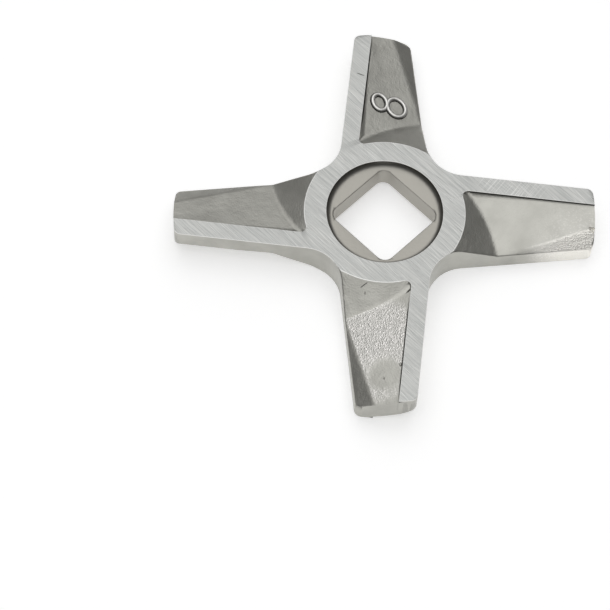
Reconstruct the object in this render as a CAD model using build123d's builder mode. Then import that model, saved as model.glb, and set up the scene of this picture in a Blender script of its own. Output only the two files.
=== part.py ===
from build123d import *
import math
import os

# Cross knife of a No. 8 meat grinder: one stainless casting with four arms.
# The hub stands on the Z axis, the back face lies on Z = 0 and the ground
# cutting face looks up.  The flats of the square hole are parallel to X and Y.
# Each arm is worked out lying along +X and is then turned into its four places.
# All sizes are in millimetres and degrees.

# --- driving dimensions -----------------------------------------------------
arm_count = 4
tip_radius = 28.0           # half of the swept diameter
thickness = 5.0             # from the back face to the ground face

hub_ring_radius = 10.7      # flat ring round the recess
hub_slope = 25.6            # the cone that falls from the ring to the arm floors
recess_radius = 7.75
recess_depth = 0.9
recess_cove = 0.75          # hollow rounding at the foot of the recess wall, ground face
recess_foot = 0.5           # plain slope at the foot of the recess wall, back face
square_across = 10.4
square_corner_radius = 1.35
square_lead = 6.0           # each corner of the square stands this far ahead of an arm

lead_offset = 6.83          # cutting edge, measured from a radius of the knife
trail_offset = 6.95         # trailing wall, measured at the hub axis
trail_taper = 12.06         # the trailing wall closes on the cutting edge by this angle
strip_width = 2.33          # flat strip beside each arm floor
root_fillet = 5.1           # rounding between one arm and the next
tip_lead_radius = 0.95
tip_trail_radius = 1.05

floor_step = 0.4            # small wall between the flat strip and the arm floor
floor_slope = 14.3          # arm floor, falling away from the strip
facet_slope = 28.5          # steeper facet along the far side of the floor
front_facet_drop = 2.45     # where the facet on the ground face meets the trailing wall
back_facet_drop = 2.3       # where the facet on the back meets the cutting side
pocket_corner = 0.75        # rounding where the strip meets the ring
crease_radius = 1.5         # cast rounding between the hub cone and a floor
brow_radius = 2.5           # soft rounding between a floor and its facet
cast_edge = 0.25            # worn edge between a side wall and the faces above it
square_edge = 0.12          # broken edge at each end of the square hole

# --- values worked out from them --------------------------------------------
arm_pitch = 360 / arm_count
arm_turn = arm_pitch / 2 - square_lead
blank_radius = tip_radius + 2   # the arms are made too long and cut to the tip circle at the end
reach = blank_radius + 2    # cutters run past the ends of the blank
clearance = 1               # cutters stand this far out of the face they cut
cone_run = 1 / math.tan(math.radians(hub_slope))
floor_fall = math.tan(math.radians(floor_slope))
facet_fall = math.tan(math.radians(facet_slope))
taper_rise = math.tan(math.radians(trail_taper))
strip_inner = lead_offset - strip_width
gap_angle = math.degrees(math.atan2(lead_offset, trail_offset - lead_offset * taper_rise))
middle = Plane.XY.offset(thickness / 2)
slack = 1e-4                # how closely a direction or height has to agree

# Sections across an arm: one square to the cutting edge, one square to the trailing wall.
across_lead = Plane.YZ
trail_direction = Vector(1, 0, 0).rotate(Axis.Z, trail_taper)
across_trail = Plane(
    origin=(0, -trail_offset, 0),
    x_dir=trail_direction.rotate(Axis.Z, 90),
    z_dir=trail_direction,
)
lead_strip_place = Location((0, strip_inner, 0))
trail_strip_place = Location((0, -trail_offset, 0), (0, 0, trail_taper))


def floor_outline(strip_edge, towards):
    """Metal cut away above an arm floor, as (across, height) corners."""
    far = strip_edge + towards * reach
    return [
        (strip_edge, thickness + clearance),
        (strip_edge, thickness - floor_step),
        (far, thickness - floor_step - reach * floor_fall),
        (far, thickness + clearance),
    ]


def facet_outline(edge, towards, drop):
    """Metal cut away above a facet that meets the side wall at the given drop."""
    outside = edge - towards * reach
    return [
        (outside, thickness + clearance),
        (outside, thickness - drop - reach * facet_fall),
        (edge + towards * (drop + clearance) / facet_fall, thickness + clearance),
    ]


def face_at_slope(faces, slope):
    """The largest flat face that leans by this angle and looks down."""
    lean = -math.cos(math.radians(slope))
    return faces.filter_by(lambda face: math.isclose(face.normal_at().Z, lean)).sort_by(SortBy.AREA)[-1]


def cross_plan(arm):
    """Four arms in their places, with the rounding between one arm and the next."""
    with BuildSketch() as cross:
        with PolarLocations(0, arm_count, start_angle=arm_turn):
            add(arm)
        root_corners = cross.vertices().sort_by_distance((0, 0, 0))[:arm_count]
        fillet(root_corners, root_fillet)
    return cross.sketch


# --- plan of one arm, too long and then cut to the tip circle -----------------
with BuildSketch() as long_arm:
    Polygon(
        (0, -trail_offset),
        (blank_radius, blank_radius * taper_rise - trail_offset),
        (blank_radius, lead_offset),
        (0, lead_offset),
        align=None,
    )

with BuildSketch() as finished_arm:
    add(long_arm.sketch)
    Circle(tip_radius, mode=Mode.INTERSECT)
    trail_corner, lead_corner = finished_arm.vertices().sort_by(Axis.X)[-2:].sort_by(Axis.Y)
    fillet(trail_corner, tip_trail_radius)
    lead_corner = finished_arm.vertices().sort_by_distance(lead_corner.center())[0]
    fillet(lead_corner, tip_lead_radius)

# --- the cone that the pocket cutters leave standing round the hub ------------
with BuildPart() as hub_cone:
    with BuildSketch(Plane(origin=(0, 0, 0), x_dir=(-1, 0, 0), z_dir=(0, 1, 0))):
        Polygon(
            (0, 0),
            (hub_ring_radius + thickness * cone_run, 0),
            (hub_ring_radius, thickness),
            (hub_ring_radius, thickness + clearance),
            (0, thickness + clearance),
            align=None,
        )
    revolve(axis=Axis.Z)


def ring_and_strip(strip_place):
    """The flat ring with one flat strip, and the rounded corner between them."""
    with BuildPart() as flat:
        with BuildSketch(Plane.XY.offset(thickness - floor_step)) as outline:
            Circle(hub_ring_radius)
            with Locations(strip_place):
                Rectangle(reach, strip_width, align=(Align.MIN, Align.MIN))
            inner_corner = outline.vertices().sort_by_distance((hub_ring_radius, 0, 0))[0]
            fillet(inner_corner, pocket_corner)
        extrude(amount=floor_step + clearance)
    return flat.part


def pocket_cutter(floor_section, strip_edge, facet_section, facet_edge, facet_drop, gap_side, flat):
    """Cutter for one arm floor, below a face that lies at the full thickness.

    The floor starts beside its flat strip and falls away from it, and a facet
    cuts the arm's other side again.  The cutter ends at the gap beside the arm
    and leaves the strip, the ring and the cone below the ring standing, with
    the cast roundings between them.
    """
    towards = math.copysign(1, gap_side)
    gap_end = Vector(reach, 0, 0).rotate(Axis.Z, gap_side)
    strip_side = -towards * trail_offset
    with BuildPart() as cutter:
        with BuildSketch(floor_section):
            Polygon(*floor_outline(strip_edge, towards), align=None)
        extrude(amount=reach)
        with BuildSketch(facet_section):
            Polygon(*facet_outline(facet_edge, -towards, facet_drop), align=None)
        extrude(amount=reach)
        with BuildSketch():
            Polygon(
                (0, 0),
                (gap_end.X, gap_end.Y),
                (reach, gap_end.Y),
                (reach, strip_side),
                (0, strip_side),
                align=None,
            )
        extrude(amount=thickness + clearance, mode=Mode.INTERSECT)
        add(hub_cone.part, mode=Mode.SUBTRACT)

        floor = face_at_slope(cutter.faces(), floor_slope)
        facet = face_at_slope(cutter.faces(), facet_slope)
        fillet(floor.edges() & facet.edges(), brow_radius)

        floor = face_at_slope(cutter.faces(), floor_slope)
        facet = face_at_slope(cutter.faces(), facet_slope)
        brow = cutter.faces().filter_by(GeomType.CYLINDER).sort_by(Axis.Z)[0]
        cone = cutter.faces().filter_by(GeomType.CONE)[0]
        crease = cone.edges() & (floor.edges() + brow.edges() + facet.edges())
        fillet(crease, crease_radius)
        add(flat, mode=Mode.SUBTRACT)
    return cutter.part


# --- one pocket for the ground face, and one for the back that is turned over --
front_pocket = pocket_cutter(
    floor_section=across_lead,
    strip_edge=strip_inner,
    facet_section=across_trail,
    facet_edge=0,
    facet_drop=front_facet_drop,
    gap_side=gap_angle - arm_pitch,
    flat=ring_and_strip(lead_strip_place),
)
back_pocket = pocket_cutter(
    floor_section=across_trail,
    strip_edge=strip_width,
    facet_section=across_lead,
    facet_edge=lead_offset,
    facet_drop=back_facet_drop,
    gap_side=gap_angle,
    flat=ring_and_strip(trail_strip_place),
)
back_pocket = mirror(back_pocket, about=middle)

# --- a round recess for each face ---------------------------------------------
def round_recess(ease_foot, foot_size):
    """Cutter for a recess in the face at the full thickness, with its foot eased."""
    with BuildPart() as cutter:
        with BuildSketch(Plane.XZ) as section:
            with Locations((0, thickness - recess_depth)):
                Rectangle(recess_radius, recess_depth + clearance, align=(Align.MIN, Align.MIN))
            foot = section.vertices().group_by(Axis.Y)[0].sort_by(Axis.X)[-1]
            ease_foot(foot, foot_size)
        revolve(axis=Axis.Z)
    return cutter.part


front_recess = round_recess(fillet, recess_cove)
back_recess = mirror(round_recess(chamfer, recess_foot), about=middle)

# --- the knife ----------------------------------------------------------------
with BuildPart() as grinder_knife:
    add(cross_plan(long_arm.sketch))
    extrude(amount=thickness)
    with PolarLocations(0, arm_count, start_angle=arm_turn):
        add(front_pocket, mode=Mode.SUBTRACT)
        add(back_pocket, mode=Mode.SUBTRACT)

    upright = grinder_knife.faces().filter_by(lambda face: abs(face.normal_at().Z) < slack)
    leaning = grinder_knife.faces().filter_by(lambda face: slack < abs(face.normal_at().Z) < 1 - slack)
    tall = upright.filter_by(lambda face: face.bounding_box().size.Z > 2 * floor_step)
    side_walls = tall.sort_by_distance((0, 0, 0))[:-arm_count]      # all but the ends of the arms
    fillet(side_walls.edges() & leaning.edges(), cast_edge)
    with BuildPart(mode=Mode.INTERSECT):
        add(cross_plan(finished_arm.sketch))
        extrude(amount=thickness)

    add(front_recess, mode=Mode.SUBTRACT)
    add(back_recess, mode=Mode.SUBTRACT)
    with BuildSketch():
        RectangleRounded(square_across, square_across, square_corner_radius)
    extrude(amount=thickness, mode=Mode.SUBTRACT)
    level = grinder_knife.edges().filter_by(lambda edge: edge.bounding_box().size.Z < slack)
    in_recess = level.filter_by(lambda edge: math.hypot(edge.center().X, edge.center().Y) < recess_radius - slack)
    square_rims = in_recess.filter_by(lambda edge: edge.length < square_across)
    chamfer(square_rims, square_edge)

grinder_knife.part.label = "grinder_knife"
os.makedirs("parts", exist_ok=True)
export_step(grinder_knife.part, "parts/grinder_knife.step")
print(f"volume {grinder_knife.part.volume:.0f} mm3, {len(grinder_knife.faces())} faces")
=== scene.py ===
# %% [markdown]
# # Cross knife of a meat grinder, dressed in Blender
#
# The knife is one stainless casting: four arms round a hub with a square hole.
# Its front face was ground flat, and the arm floors keep the grainy skin of the
# casting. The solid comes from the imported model, so this lesson adds what a
# solid cannot carry: soft edges, small dents, the raised size figure, and the
# finishes of ground and of cast steel.

import math

import bmesh
import bpy
import numpy as np
from mathutils import Matrix, Vector
from mathutils.bvhtree import BVHTree


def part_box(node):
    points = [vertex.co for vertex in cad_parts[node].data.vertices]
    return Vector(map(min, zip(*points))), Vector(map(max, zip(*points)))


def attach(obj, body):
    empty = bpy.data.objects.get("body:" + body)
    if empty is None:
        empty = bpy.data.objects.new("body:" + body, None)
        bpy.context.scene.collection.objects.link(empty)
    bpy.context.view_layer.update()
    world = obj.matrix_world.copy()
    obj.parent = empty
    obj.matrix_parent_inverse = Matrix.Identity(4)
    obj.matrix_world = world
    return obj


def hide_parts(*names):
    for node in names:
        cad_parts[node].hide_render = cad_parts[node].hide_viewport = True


MM = 0.001

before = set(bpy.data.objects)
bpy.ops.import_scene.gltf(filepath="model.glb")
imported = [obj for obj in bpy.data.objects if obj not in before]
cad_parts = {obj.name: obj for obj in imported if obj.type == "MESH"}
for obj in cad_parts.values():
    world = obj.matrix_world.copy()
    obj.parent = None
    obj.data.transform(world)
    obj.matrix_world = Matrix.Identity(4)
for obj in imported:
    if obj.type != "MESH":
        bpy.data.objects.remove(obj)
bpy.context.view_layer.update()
low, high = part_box("grinder_knife")
thickness = high.z - low.z
print("knife box in mm:", [round(v / MM, 2) for v in (*low, *high)])

# %% [markdown]
# ## The camera
#
# A long lens from about a third of a metre keeps the four arms nearly the same
# size. The camera is placed by the point that it looks at, its distance, and
# three angles, which is easier to change than a matrix: round the knife, above
# the table, and the roll about its own line of sight.

# %% Camera
def place_camera(aim, distance, around, above, roll, lens):
    """A camera at the given distance from aim: its angles round Z and above the
    XY plane give the line of sight, and roll turns it about that line."""
    away = Vector((
        math.cos(above) * math.cos(around),
        math.cos(above) * math.sin(around),
        math.sin(above),
    ))
    turn = away.to_track_quat("Z", "Y").to_matrix().to_4x4()
    data = bpy.data.cameras.new("camera")
    data.lens = lens
    data.sensor_width = 36
    data.clip_start = 0.01
    camera = bpy.data.objects.new("camera", data)
    camera.matrix_world = Matrix.Translation(aim + away * distance) @ turn @ Matrix.Rotation(roll, 4, "Z")
    bpy.context.scene.collection.objects.link(camera)
    return camera


bpy.context.scene.camera = place_camera(
    aim=Vector((2.68, -17.50, 5.0)) * MM,
    distance=337.4 * MM,
    around=math.radians(-47.15),
    above=math.radians(62.08),
    roll=math.radians(2.89),
    lens=153.4,
)
bpy.context.scene.view_settings.view_transform = "Standard"
print("camera height in mm:", round(bpy.context.scene.camera.location.z / MM, 1))

# %% [markdown]
# ## Small helpers for node trees
#
# A material is a graph of nodes. Three helpers keep the graphs short to read: one
# adds a node and fills its inputs, one blends two colours, and one carries a value
# from one range to another.

# %% Node helpers
def add_node(tree, kind, settings=None, **inputs):
    """Adds a node. settings are its own properties; inputs fills its sockets by
    name, with a value or with another node's output."""
    node = tree.nodes.new(kind)
    for name, value in (settings or {}).items():
        setattr(node, name, value)
    for name, value in inputs.items():
        socket = node.inputs[int(name[1:])] if name[1:].isdigit() else node.inputs[name.replace("_", " ")]
        if isinstance(value, bpy.types.NodeSocket):
            tree.links.new(value, socket)
        else:
            socket.default_value = value
    return node


def blend_colours(tree, share, first, second):
    """A colour between first and second, by share."""
    mix = add_node(tree, "ShaderNodeMix", {"data_type": "RGBA"})
    for socket, value in ((mix.inputs[0], share), (mix.inputs[6], first), (mix.inputs[7], second)):
        if isinstance(value, bpy.types.NodeSocket):
            tree.links.new(value, socket)
        else:
            socket.default_value = value
    return mix.outputs[2]


def map_range(tree, value, from_low, from_high, to_low, to_high, smooth=False):
    """value carried from one range to another, clamped, with soft ends if smooth."""
    node = add_node(tree, "ShaderNodeMapRange", {"interpolation_type": "SMOOTHSTEP" if smooth else "LINEAR"})
    tree.links.new(value, node.inputs["Value"])
    for name, number in (("From Min", from_low), ("From Max", from_high), ("To Min", to_low), ("To Max", to_high)):
        node.inputs[name].default_value = number
    return node.outputs["Result"]


# %% [markdown]
# ## Light, floor and background
#
# Steel has hardly any colour of its own: it shows what stands round it. So the
# light is a single soft glow, brightest a little behind straight overhead and
# fading to the sides. The flat ground faces mirror its bright middle, and the
# facets that lean away mirror the dim sides. The floor is pale. Seen by the
# camera it gets a little glow of its own, so it reads as white and still takes
# the knife's shadow.

# %% Light
GLOW_AROUND = math.radians(150)
GLOW_ABOVE = math.radians(78)
GLOW_LONG_WAY = math.radians(129)
GLOW_WIDE = 0.80
GLOW_LONG = 1.09
GLOW_BRIGHT = 1.27
GLOW_DIM = 0.16
GLOW_CORE = 0.4
GLOW_EDGE = 0.95

glow_centre = Vector((
    math.cos(GLOW_ABOVE) * math.cos(GLOW_AROUND),
    math.cos(GLOW_ABOVE) * math.sin(GLOW_AROUND),
    math.sin(GLOW_ABOVE),
))
long_way = Vector((math.cos(GLOW_LONG_WAY), math.sin(GLOW_LONG_WAY), 0))
wide_way = long_way.cross(glow_centre).normalized()
long_way = glow_centre.cross(wide_way)

world = bpy.data.worlds.new("studio")
world.use_nodes = True
bpy.context.scene.world = world
tree = world.node_tree
tree.nodes.clear()
sky = add_node(tree, "ShaderNodeTexCoord").outputs["Generated"]
across = add_node(tree, "ShaderNodeVectorMath", {"operation": "DOT_PRODUCT"}, _0=sky, _1=wide_way / GLOW_WIDE)
along = add_node(tree, "ShaderNodeVectorMath", {"operation": "DOT_PRODUCT"}, _0=sky, _1=long_way / GLOW_LONG)
offset = add_node(tree, "ShaderNodeCombineXYZ", _0=across.outputs["Value"], _1=along.outputs["Value"])
from_centre = add_node(tree, "ShaderNodeVectorMath", {"operation": "LENGTH"}, _0=offset.outputs[0])
strength = map_range(tree, from_centre.outputs["Value"], GLOW_CORE, GLOW_EDGE, GLOW_BRIGHT, GLOW_DIM, smooth=True)
soft_light = add_node(tree, "ShaderNodeBackground", Color=(1, 1, 1, 1), Strength=strength)
white = add_node(tree, "ShaderNodeBackground", Color=(1, 1, 1, 1), Strength=1.0)
rays = add_node(tree, "ShaderNodeLightPath")
seen = add_node(tree, "ShaderNodeMixShader", _0=rays.outputs["Is Camera Ray"],
                _1=soft_light.outputs[0], _2=white.outputs[0])
add_node(tree, "ShaderNodeOutputWorld", Surface=seen.outputs[0])
print("glow comes from", [round(c, 2) for c in glow_centre])

# %% Floor
FLOOR_HALF = 3.0
FLOOR_COLOUR = (0.9, 0.9, 0.9, 1)
FLOOR_GLOW = 0.46

corners = np.array([[-1, -1, 0], [1, -1, 0], [1, 1, 0], [-1, 1, 0]]) * FLOOR_HALF
corners[:, 2] = low.z
floor_mesh = bpy.data.meshes.new("floor")
floor_mesh.from_pydata(corners.tolist(), [], [(0, 1, 2, 3)])
floor = bpy.data.objects.new("floor", floor_mesh)
bpy.context.scene.collection.objects.link(floor)
floor_paint = bpy.data.materials.new("pale_floor")
floor_paint.use_nodes = True
tree = floor_paint.node_tree
tree.nodes.clear()
matt = add_node(tree, "ShaderNodeBsdfDiffuse", Color=FLOOR_COLOUR)
rays = add_node(tree, "ShaderNodeLightPath")
sharp_rays = add_node(tree, "ShaderNodeMath", {"operation": "MAXIMUM"},
                      _0=rays.outputs["Is Glossy Ray"], _1=rays.outputs["Is Transmission Ray"])
seen_rays = add_node(tree, "ShaderNodeMath", {"operation": "MAXIMUM"},
                     _0=rays.outputs["Is Camera Ray"], _1=sharp_rays.outputs[0])
glow_strength = map_range(tree, seen_rays.outputs[0], 0, 1, 0, FLOOR_GLOW)
glow = add_node(tree, "ShaderNodeEmission", Color=(1, 1, 1, 1), Strength=glow_strength)
both = add_node(tree, "ShaderNodeAddShader", _0=matt.outputs[0], _1=glow.outputs[0])
add_node(tree, "ShaderNodeOutputMaterial", Surface=both.outputs[0])
floor_mesh.materials.append(floor_paint)
print("floor", FLOOR_HALF * 2, "m wide")

# %% [markdown]
# ## Marks of use and of casting
#
# One tip has a nick, and the cast skin has two small beads. Each mark is a small
# ellipsoid that is centred on the skin: a dent takes it away from the body and a
# bead adds it. A ray from above finds the skin, so a mark is placed by its spot in
# the plan alone. Shallower marks are left to the finishes, because a dent that
# cuts a large flat spoils the shading round it.

# %% Places on an arm
ARM_TURN = 39


def on_arm(arm, along, side, height=5.0):
    """The point, in metres, that lies this far along an arm and beside its centre
    line, in mm: the arm's own frame turned about Z by its share of the circle."""
    turn = math.radians(ARM_TURN + 90 * arm)
    return Vector((
        math.cos(turn) * along - math.sin(turn) * side,
        math.sin(turn) * along + math.cos(turn) * side,
        height,
    )) * MM


# %% Marks
ABOVE_ALL = 20                  # height in mm from which the rays look down
DENTS = (                       # arm, start and end in mm, half width, depth
    (0, (27.25, 1.55), (28.1, 1.05), 0.28, 0.34),
)
BEADS = (                       # the same, with the height in place of the depth
    (3, (21.9, 4.22), (22.3, 4.22), 0.16, 0.16),
    (3, (23.95, 2.25), (24.2, 2.30), 0.13, 0.12),
)


def ellipsoids(name, marks, surface_tree):
    """Closed ellipsoids on the skin. The long axis runs from start to end, the
    second lies across it in the skin, and the third points out of the skin."""
    shapes = bmesh.new()
    for arm, start, end, half_width, depth in marks:
        start, end = on_arm(arm, *start, ABOVE_ALL), on_arm(arm, *end, ABOVE_ALL)
        spot, out, _, _ = surface_tree.ray_cast((start + end) / 2, Vector((0, 0, -1)))
        way = end - start
        half_length = way.length / 2 + half_width * MM / 2
        along = (way - out * way.dot(out)).normalized()
        half_sizes = (along * half_length, out.cross(along) * half_width * MM, out * depth * MM)
        axes = Matrix(half_sizes).transposed()
        place = Matrix.Translation(spot) @ axes.to_4x4()
        bmesh.ops.create_icosphere(shapes, subdivisions=3, radius=1, matrix=place)
    mesh = bpy.data.meshes.new(name)
    shapes.to_mesh(mesh)
    shapes.free()
    piece = bpy.data.objects.new(name, mesh)
    bpy.context.scene.collection.objects.link(piece)
    return piece


def combined(mesh_in_work, marks, operation):
    """The mesh with all the marks taken away from it or added to it."""
    tools = ellipsoids("tools", marks, BVHTree.FromBMesh(mesh_in_work))
    mesh = bpy.data.meshes.new("plain")
    mesh_in_work.to_mesh(mesh)
    plain = bpy.data.objects.new("plain", mesh)
    bpy.context.scene.collection.objects.link(plain)
    step = plain.modifiers.new("marks", "BOOLEAN")
    step.operation = operation
    step.solver = "EXACT"
    step.use_self = True
    step.object = tools
    evaluated = plain.evaluated_get(bpy.context.evaluated_depsgraph_get())
    result = bmesh.new()
    result.from_mesh(evaluated.to_mesh())
    evaluated.to_mesh_clear()
    for piece in (plain, tools):
        bpy.data.objects.remove(piece)
    return result


# %% [markdown]
# ## The knife's body
#
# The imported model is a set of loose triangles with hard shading. A copy is
# merged into one closed skin, and the marks are cut into it. The rim of each
# ground flat is then given a real rounding of about a twentieth of a millimetre,
# because a ground edge is never perfectly sharp and this thin rounding is what
# catches the light. The rounding keeps clear of the dents, and is held between
# the two ground planes. Corners that fall together are welded at the end.

# %% Merge a copy
RIM_WIDTH = 0.055 * MM
DENT_CLEAR = 0.8 * MM
MERGE = 0.001 * MM
WELD = 0.0001 * MM
NO_AREA = 1e-14                  # square metres
LEVEL = 0.002 * MM
SMOOTH_ANGLE = math.radians(28)

skin = bmesh.new()
skin.from_mesh(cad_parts["grinder_knife"].data)
bmesh.ops.remove_doubles(skin, verts=skin.verts, dist=MERGE)


def open_edges(mesh_in_work):
    """How many edges don't have exactly two faces."""
    return sum(not edge.is_manifold for edge in mesh_in_work.edges)


def on_level(edge, height):
    """True for an edge that lies at this height."""
    return all(abs(vert.co.z - height) < LEVEL for vert in edge.verts)


print("merged:", len(skin.verts), "corners,", len(skin.faces), "faces, open edges:", open_edges(skin))
for marks, operation in ((DENTS, "DIFFERENCE"), (BEADS, "UNION")):
    skin = combined(skin, marks, operation)
    print(operation, "->", len(skin.faces), "faces, open edges:", open_edges(skin))

# %% Round the rims
dent_places = [on_arm(arm, *start) for arm, start, end, half_width, depth in DENTS]
rims = [
    edge for edge in skin.edges
    if (on_level(edge, high.z) or on_level(edge, low.z)) and edge.calc_face_angle() > SMOOTH_ANGLE / 2
    and min((edge.verts[0].co - place).length for place in dent_places) > DENT_CLEAR
]
bmesh.ops.bevel(skin, geom=rims, offset=RIM_WIDTH, offset_type="OFFSET", segments=2, profile=0.5,
                affect="EDGES", clamp_overlap=False)
for vert in skin.verts:
    vert.co.z = min(max(vert.co.z, low.z), high.z)
bmesh.ops.remove_doubles(skin, verts=skin.verts, dist=WELD)
print("rounded", len(rims), "rim edges;", len(skin.faces), "faces, open edges:", open_edges(skin),
      "faces without area:", sum(face.calc_area() < NO_AREA for face in skin.faces))

# %% [markdown]
# ## Finishes by region
#
# One casting carries several finishes: the ground flats, the walls of the hub's
# recess and square, the low step walls under the cutting strip, painted near
# black as painted shade for that narrow corner, and the blasted skin everywhere
# else. Each face gets its finish from where it lies and which way it looks,
# worked out for all faces at once. How far a face lies level, like an arm floor,
# is kept with it as a share.

# %% Body mesh and its regions
GROUND, RIM, HUB_BORE, STEP_WALL_SHADE, CAST = range(5)
HUB_BORE_RADIUS = 7.8 * MM
CORNER_START_RADIUS = 11.9 * MM
STEP_HEIGHT = 0.42 * MM
FLOOR_FROM, FLOOR_FADE = 0.945, 0.02     # upright part of the normal where the floor share starts, and its fade

knife_mesh = bpy.data.meshes.new("knife_body")
skin.to_mesh(knife_mesh)
skin.free()
count = len(knife_mesh.polygons)
centres = np.empty(count * 3)
normals = np.empty(count * 3)
knife_mesh.polygons.foreach_get("center", centres)
knife_mesh.polygons.foreach_get("normal", normals)
centres = centres.reshape(-1, 3)
normals = normals.reshape(-1, 3)
from_axis = np.hypot(centres[:, 0], centres[:, 1])
depth = np.minimum(high.z - centres[:, 2], centres[:, 2] - low.z)
upright = np.abs(normals[:, 2]) < 0.1
region = np.full(count, CAST)
region[depth < RIM_WIDTH] = RIM
region[(depth < LEVEL) & (np.abs(normals[:, 2]) > 0.99)] = GROUND
region[(from_axis < HUB_BORE_RADIUS) & (depth > RIM_WIDTH)] = HUB_BORE
places = np.empty(len(knife_mesh.vertices) * 3)
knife_mesh.vertices.foreach_get("co", places)
heights = places[2::3]
corner_start = np.empty(count, np.int32)
knife_mesh.polygons.foreach_get("loop_start", corner_start)
corner_vertex = np.empty(len(knife_mesh.loops), np.int32)
knife_mesh.loops.foreach_get("vertex_index", corner_vertex)
lowest = np.minimum.reduceat(heights[corner_vertex], corner_start)
highest = np.maximum.reduceat(heights[corner_vertex], corner_start)
front_step = lowest > high.z - STEP_HEIGHT
back_step = highest < low.z + STEP_HEIGHT
# The upright walls of the low steps, away from the hub, get the near-black painted shade of that narrow corner.
region[upright & (from_axis > CORNER_START_RADIUS) & (front_step | back_step) & (depth > RIM_WIDTH)] = STEP_WALL_SHADE
print("faces by region:", {name: int((region == number).sum()) for name, number in
      (("ground", GROUND), ("rim", RIM), ("hub bore", HUB_BORE), ("corner", STEP_WALL_SHADE), ("cast", CAST))})

# %% Shading of the body
floor_share = np.clip((np.abs(normals[:, 2]) - FLOOR_FROM) / FLOOR_FADE, 0, 1).astype(np.float32)
knife_mesh.attributes.new("floor_share", "FLOAT", "FACE").data.foreach_set("value", floor_share)
knife_body = bpy.data.objects.new("knife_body", knife_mesh)
bpy.context.scene.collection.objects.link(knife_body)
knife_mesh.shade_smooth()
knife_mesh.set_sharp_from_angle(angle=SMOOTH_ANGLE)
flat_first = knife_body.modifiers.new("flat_first", "WEIGHTED_NORMAL")
flat_first.mode = "FACE_AREA"
flat_first.weight = 100
flat_first.keep_sharp = True
evaluated = knife_body.evaluated_get(bpy.context.evaluated_depsgraph_get())
knife_body.data = bpy.data.meshes.new_from_object(evaluated)
knife_body.modifiers.clear()
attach(knife_body, "root")
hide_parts("grinder_knife")
print("attributes:", [attribute.name for attribute in knife_body.data.attributes])

# %% [markdown]
# ## Ground steel
#
# A flat ground on a belt is covered in fine parallel scratches. Noise that is
# stretched far along one direction gives such lines: two layers of relief at
# slightly different angles. Rare scratches, the scratches that cross one strip
# and a dark one on another are colour alone.

# %% Shared steel parts
def steel_material(name, colour, roughness):
    """A metal material: its tree, its shader and the object's own coordinates."""
    material = bpy.data.materials.new(name)
    material.use_nodes = True
    tree = material.node_tree
    shader = tree.nodes["Principled BSDF"]
    shader.inputs["Base Color"].default_value = (*colour, 1)
    shader.inputs["Metallic"].default_value = 1
    shader.inputs["Roughness"].default_value = roughness
    coords = add_node(tree, "ShaderNodeTexCoord").outputs["Object"]
    return material, tree, shader, coords


def lines(tree, coords, turn, length, width, detail=2.0):
    """Noise drawn out along one direction in the XY plane: streaks of about this
    length and width, in mm, turned by this angle."""
    stretched = add_node(tree, "ShaderNodeMapping", {"vector_type": "TEXTURE"}, Vector=coords,
                         Rotation=(0, 0, math.radians(turn)), Scale=(length * MM, width * MM, length * MM))
    noise = add_node(tree, "ShaderNodeTexNoise", Vector=stretched.outputs[0], Scale=1.0, Detail=detail,
                     Roughness=0.6)
    return noise.outputs["Fac"]


def grains(tree, coords, size, detail=2.0):
    """Even noise whose lumps are about this size, in mm."""
    return add_node(tree, "ShaderNodeTexNoise", Vector=coords, Scale=1 / (size * MM), Detail=detail,
                    Roughness=0.55).outputs["Fac"]


def relief(tree, shader, *layers):
    """Bump from several layers, each a height and the depth in mm that it spans."""
    last = None
    for height, depth in layers:
        bump = add_node(tree, "ShaderNodeBump", Height=height, Distance=depth * MM, Strength=1.0)
        if last is not None:
            tree.links.new(last, bump.inputs["Normal"])
        last = bump.outputs["Normal"]
    tree.links.new(last, shader.inputs["Normal"])


# %% Sums, strokes and patches
def arithmetic(tree, operation, first, second):
    """One number from two."""
    return add_node(tree, "ShaderNodeMath", {"operation": operation}, _0=first, _1=second).outputs[0]


def stroke(tree, coords, arm, start, end, half_width):
    """1 on a straight band from start to end on an arm's plan, 0 beside it: the
    larger of the two distances from its middle, each as a share of the half size."""
    start, end = on_arm(arm, *start), on_arm(arm, *end)
    way = end - start
    across = Vector((-way.y, way.x, 0)).normalized() / (half_width * MM)
    offset = add_node(tree, "ShaderNodeVectorMath", {"operation": "SUBTRACT"},
                      _0=coords, _1=(start + end) / 2)
    shares = []
    for axis in (way * 2 / way.length_squared, across):
        dot = add_node(tree, "ShaderNodeVectorMath", {"operation": "DOT_PRODUCT"},
                       _0=offset.outputs[0], _1=axis)
        size = add_node(tree, "ShaderNodeMath", {"operation": "ABSOLUTE"}, _0=dot.outputs["Value"])
        shares.append(size.outputs[0])
    return map_range(tree, arithmetic(tree, "MAXIMUM", *shares), 0.55, 1.0, 1, 0, smooth=True)


def patch(tree, coords, centre, inner, outer):
    """1 within inner mm of a point, fading to 0 at outer mm."""
    distance = add_node(tree, "ShaderNodeVectorMath", {"operation": "DISTANCE"}, _0=coords, _1=centre)
    return map_range(tree, distance.outputs["Value"], inner * MM, outer * MM, 1, 0, smooth=True)


# %% Ground steel
GRIND_TURN = 0
CROSS_TURN = 98

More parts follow.
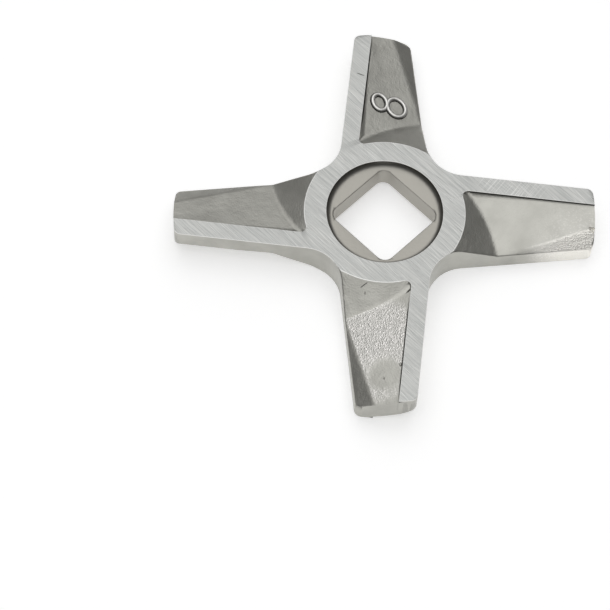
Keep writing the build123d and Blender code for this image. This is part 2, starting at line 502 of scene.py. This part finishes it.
ground_steel, tree, shader, coords = steel_material("ground_steel", (0.52, 0.525, 0.515), 0.33)
fine = lines(tree, coords, GRIND_TURN, 6, 0.11)
coarse = lines(tree, coords, GRIND_TURN + 7, 4, 0.30)
rare = map_range(tree, lines(tree, coords, GRIND_TURN - 6, 6, 0.12, 1.0), 0.62, 0.74, 0, 0.8)
crossing = map_range(tree, lines(tree, coords, CROSS_TURN, 5, 0.12, 0.0), 0.58, 0.68, 0, 0.8)
crossed_land = patch(tree, coords, on_arm(0, 16.5, 5.6), 3.5, 5.5)
crossing = arithmetic(tree, "MULTIPLY", crossing, crossed_land)
dark_scratch = stroke(tree, coords, 1, (21.17, 5.95), (20.83, 4.78), 0.10)
relief(tree, shader, (fine, 0.032), (coarse, 0.03))
colour = blend_colours(tree, map_range(tree, fine, 0.3, 0.7, 0, 1),
                       (0.38, 0.39, 0.38, 1), (0.56, 0.56, 0.54, 1))
light_lines = arithmetic(tree, "MAXIMUM", rare, crossing)
colour = blend_colours(tree, light_lines, colour, (0.64, 0.64, 0.62, 1))
colour = blend_colours(tree, dark_scratch, colour, (0.16, 0.16, 0.15, 1))
tree.links.new(colour, shader.inputs["Base Color"])
tree.links.new(map_range(tree, coarse, 0.3, 0.7, 0.27, 0.40), shader.inputs["Roughness"])

# The rims are painted lighter than the ground flats: a painted highlight on top of the light that their real
# rounding catches.
rim_steel, tree, shader, coords = steel_material("rim_steel", (0.70, 0.70, 0.68), 0.30)
relief(tree, shader, (grains(tree, coords, 0.4), 0.01))

# %% [markdown]
# ## Cast skin
#
# A blasted casting is a field of tiny facets. Most of the skin is fine and even,
# but one arm floor and the tip of another arm came out coarse, so patches placed
# there fade in a cell pattern of relief. Their lighter colour is partly a lighter
# blasted skin and partly painted sheen, and the light specks in some cells are
# painted glints.
#
# Three colours stand in for light and shade that the soft light doesn't give:
# painted shade in the dark line at the foot of each step, set arm by arm, and in
# the cracks, and painted light on the pale facet at one tip. They stay put under
# any light, so a scene with its own hard light may want them off.

# %% Cast skin
SPARK_SIZE = 0.16
STEP_LINES = ((0, 0.4), (1, 1.0), (2, 0.35), (3, 1.0))      # arm, darkness of the line under its step
STEP_LINE_FROM, STEP_LINE_TO = (11.2, 4.42), (28.6, 4.42)
STEP_LINE_HALF = 0.10
CRACK_HALF = 0.07
CRACKS = ((3, (11.62, -2.10), (10.84, -1.15)), (3, (11.93, -1.41), (12.40, -1.35)))

cast_steel, tree, shader, coords = steel_material("cast_steel", (0.50, 0.495, 0.465), 0.36)
fine = grains(tree, coords, 0.2)
lumps = grains(tree, coords, 0.8)
clouds = grains(tree, coords, 3.5)
voronoi = add_node(tree, "ShaderNodeTexVoronoi", Vector=coords, Scale=1 / (SPARK_SIZE * MM))
whole_floor = patch(tree, coords, on_arm(3, 20, 0, 3.5), 6, 8.5)
smooth_spot = patch(tree, coords, on_arm(3, 23.5, 2.4, 4), 1.5, 3.5)
bottom_patch = arithmetic(tree, "SUBTRACT", whole_floor, smooth_spot)
tip_patch = patch(tree, coords, on_arm(0, 27, -1.5, 3), 2, 9)
tip_floor = arithmetic(tree, "MULTIPLY", tip_patch, 0.2)
on_floors = add_node(tree, "ShaderNodeAttribute", {"attribute_name": "floor_share"}).outputs["Fac"]
off_floors = arithmetic(tree, "SUBTRACT", 1.0, on_floors)
bottom_patch = arithmetic(tree, "MULTIPLY", bottom_patch, on_floors)
tip_facet_painted_light = arithmetic(tree, "MULTIPLY", tip_patch, off_floors)
glints = arithmetic(tree, "MAXIMUM", arithmetic(tree, "MAXIMUM", bottom_patch, tip_floor), tip_facet_painted_light)
glint_height = arithmetic(tree, "MULTIPLY", voronoi.outputs["Distance"], glints)
relief(tree, shader, (lumps, 0.035), (fine, 0.02), (glint_height, 0.055))
plain = blend_colours(tree, map_range(tree, clouds, 0.35, 0.65, 0, 1),
                      (0.435, 0.43, 0.395, 1), (0.51, 0.505, 0.465, 1))
# The patches are painted lighter, partly a lighter blasted skin and partly painted sheen, and near-white specks in
# some of their cells are painted glints.
colour = blend_colours(tree, glints, plain, (0.71, 0.70, 0.665, 1))
painted_glint_specks = map_range(tree, voronoi.outputs["Color"], 0.62, 0.80, 0, 1)
colour = blend_colours(tree, arithmetic(tree, "MULTIPLY", painted_glint_specks, glints), colour, (0.98, 0.95, 0.92, 1))
# The facet at one tip is painted nearly white: painted light.
colour = blend_colours(tree, tip_facet_painted_light, colour, (0.97, 0.95, 0.89, 1))
# Painted shade: a dark line at the foot of each step, darker on some arms, and the dark cracks, kept to the upper
# half of the knife.
dark = None
for arm, darkness in STEP_LINES:
    line = stroke(tree, coords, arm, STEP_LINE_FROM, STEP_LINE_TO, STEP_LINE_HALF)
    line = arithmetic(tree, "MULTIPLY", line, darkness)
    dark = line if dark is None else arithmetic(tree, "MAXIMUM", dark, line)
for arm, start, end in CRACKS:
    dark = arithmetic(tree, "MAXIMUM", dark, stroke(tree, coords, arm, start, end, CRACK_HALF))
upper = add_node(tree, "ShaderNodeSeparateXYZ", Vector=coords).outputs["Z"]
dark = arithmetic(tree, "MULTIPLY", dark, map_range(tree, upper, 2.4 * MM, 2.6 * MM, 0, 1))
colour = blend_colours(tree, dark, colour, (0.07, 0.07, 0.065, 1))
tree.links.new(colour, shader.inputs["Base Color"])

# %% Hub bore and shadowed corner
# The recess is painted darker towards its wall: painted shade where the wall and its cove lie in shade.
SHADE_FROM, SHADE_TO = 6.9 * MM, 7.7 * MM      # the recess is painted darker towards its wall

bore_steel, tree, shader, coords = steel_material("bore_steel", (0.42, 0.41, 0.38), 0.45)
relief(tree, shader, (grains(tree, coords, 0.5), 0.03))
flat_place = add_node(tree, "ShaderNodeVectorMath", {"operation": "MULTIPLY"}, _0=coords, _1=(1, 1, 0))
out_from_axis = add_node(tree, "ShaderNodeVectorMath", {"operation": "LENGTH"}, _0=flat_place.outputs[0])
wall_painted_shade = map_range(tree, out_from_axis.outputs["Value"], SHADE_FROM, SHADE_TO, 0, 1, smooth=True)
colour = blend_colours(tree, wall_painted_shade, (0.44, 0.425, 0.385, 1), (0.21, 0.205, 0.19, 1))
tree.links.new(colour, shader.inputs["Base Color"])
# The step walls are painted near black: painted shade in the narrow corner under the cutting strip.
step_wall_shade_steel, tree, shader, coords = steel_material("step_wall_shade_steel", (0.10, 0.10, 0.09), 0.6)
relief(tree, shader, (grains(tree, coords, 0.3), 0.03))

knife_body.data.materials.clear()
for material in (ground_steel, rim_steel, bore_steel, step_wall_shade_steel, cast_steel):
    knife_body.data.materials.append(material)
knife_body.data.polygons.foreach_set("material_index", region.astype(np.int32))
knife_body.data.update()
print("finishes:", [material.name for material in knife_body.data.materials])

# %% [markdown]
# ## The raised size figure
#
# Grinder knives are cast with their size as a raised figure on one arm floor.
# It is a low rounded ridge that follows two tilted loops. The top of a thin closed
# slab, sunk in that part of the floor, is lifted by a height that depends only on
# how far each point is from the loops, so the two ridges melt together at the
# waist without any joint. The same height, kept with each corner, paints the
# ridge: a painted highlight on its top and painted shade on its walls.

# %% Frame of an arm floor
FLOOR_STEP = 0.4
STRIP_INNER = 4.5
FLOOR_SLOPE = math.radians(14.3)


def floor_frame(arm):
    """Origin and axes of an arm floor: along the arm, across it downhill, and out
    of the floor."""
    origin = on_arm(arm, 0, STRIP_INNER, thickness / MM - FLOOR_STEP)
    along = (on_arm(arm, 1, 0) - on_arm(arm, 0, 0)).normalized()
    downhill = on_arm(arm, 0, -math.cos(FLOOR_SLOPE), -math.sin(FLOOR_SLOPE))
    down = (downhill - on_arm(arm, 0, 0, 0)).normalized()
    return origin, along, down, along.cross(down) * -1


def closed_slab(name, top, under, material):
    """A closed mesh between two grids of points of the same size: both faces and
    a wall round the border, with every face pointing outwards."""
    rows, columns = top.shape[:2]
    index = np.arange(rows * columns).reshape(rows, columns)
    a, b, c, d = index[:-1, :-1], index[1:, :-1], index[1:, 1:], index[:-1, 1:]
    upper = np.stack([a, b, c, d], -1).reshape(-1, 4)
    border = np.concatenate([index[0, :-1], index[:-1, -1], index[-1, :0:-1], index[:0:-1, 0]])
    following = np.roll(border, -1)
    wall = np.stack([border, following, following + index.size, border + index.size], -1)
    mesh = bpy.data.meshes.new(name)
    mesh.from_pydata(np.concatenate([top.reshape(-1, 3), under.reshape(-1, 3)]).tolist(), [],
                     np.concatenate([upper, upper[:, ::-1] + index.size, wall]).tolist())
    closed = bmesh.new()
    closed.from_mesh(mesh)
    bmesh.ops.recalc_face_normals(closed, faces=closed.faces[:])
    closed.to_mesh(mesh)
    print(name, len(closed.faces), "faces, open edges:", sum(not edge.is_manifold for edge in closed.edges),
          "volume mm3:", round(closed.calc_volume(signed=True) / MM ** 3, 3))
    closed.free()
    mesh.shade_smooth()
    mesh.set_sharp_from_angle(angle=math.radians(60))
    mesh.materials.append(material)
    piece = bpy.data.objects.new(name, mesh)
    bpy.context.scene.collection.objects.link(piece)
    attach(piece, "root")
    return piece


# %% The figure
FIGURE_ARM = 1
RIDGE_HALF_WIDTH = 0.36
RIDGE_HEIGHT = 0.34
RIDGE_FULLNESS = 0.45            # below 1, the ridge is steeper at its foot and flatter on top
SUNK = 0.06
SPACING = 0.05
ALONG_FROM, ALONG_TO = 15.2, 19.4
DOWN_FROM, DOWN_TO = 0.7, 6.5
LOOPS = (             # centre along the arm and downhill, half sizes, all in mm, and the tilt in degrees
    (17.41, 2.20, 1.22, 0.98, -25),
    (17.17, 4.60, 1.42, 1.22, -35),
)


def distance_from_loop(along, down, loop):
    """Distance in mm from a tilted ellipse, near enough close to its line: the
    implicit radius less one, times the local size of the ellipse."""
    centre_along, centre_down, half_along, half_down, tilt = loop
    turn = math.radians(tilt)
    x = (along - centre_along) * math.cos(turn) + (down - centre_down) * math.sin(turn)
    y = (down - centre_down) * math.cos(turn) - (along - centre_along) * math.sin(turn)
    radius = np.hypot(x / half_along, y / half_down)
    gradient = np.hypot(x / half_along ** 2, y / half_down ** 2)
    return np.abs(radius - 1) * radius / np.maximum(gradient, 1e-6)


figure_steel, tree, shader, coords = steel_material("figure_steel", (0.50, 0.495, 0.465), 0.32)
relief(tree, shader, (grains(tree, coords, 0.2), 0.02))
ridge_share = add_node(tree, "ShaderNodeAttribute", {"attribute_name": "ridge"}).outputs["Fac"]
# Painted shade on the ridge's walls and a painted highlight on its top, both set by the ridge height.
walls = blend_colours(tree, map_range(tree, ridge_share, 0.3, 0.8, 0, 1),
                      (0.10, 0.10, 0.095, 1), (0.36, 0.355, 0.34, 1))
colour = blend_colours(tree, map_range(tree, ridge_share, 0.82, 0.96, 0, 1),
                       walls, (0.82, 0.81, 0.78, 1))
tree.links.new(colour, shader.inputs["Base Color"])

along, down = np.meshgrid(np.arange(ALONG_FROM, ALONG_TO, SPACING),
                          np.arange(DOWN_FROM, DOWN_TO, SPACING), indexing="ij")
nearest = np.minimum(*(distance_from_loop(along, down, loop) for loop in LOOPS))
ridge = np.clip(1 - (nearest / RIDGE_HALF_WIDTH) ** 2, 0, 1) ** RIDGE_FULLNESS
origin, along_axis, down_axis, out_axis = (np.array(v) for v in floor_frame(FIGURE_ARM))
plan = origin + MM * (along[..., None] * along_axis + down[..., None] * down_axis)
top = plan + MM * ((RIDGE_HEIGHT + SUNK) * ridge - SUNK)[..., None] * out_axis
size_figure = closed_slab("size_figure", top, plan - 2 * SUNK * MM * out_axis, figure_steel)
height_share = np.concatenate([ridge.ravel(), np.zeros(ridge.size)]).astype(np.float32)
size_figure.data.attributes.new("ridge", "FLOAT", "POINT").data.foreach_set("value", height_share)
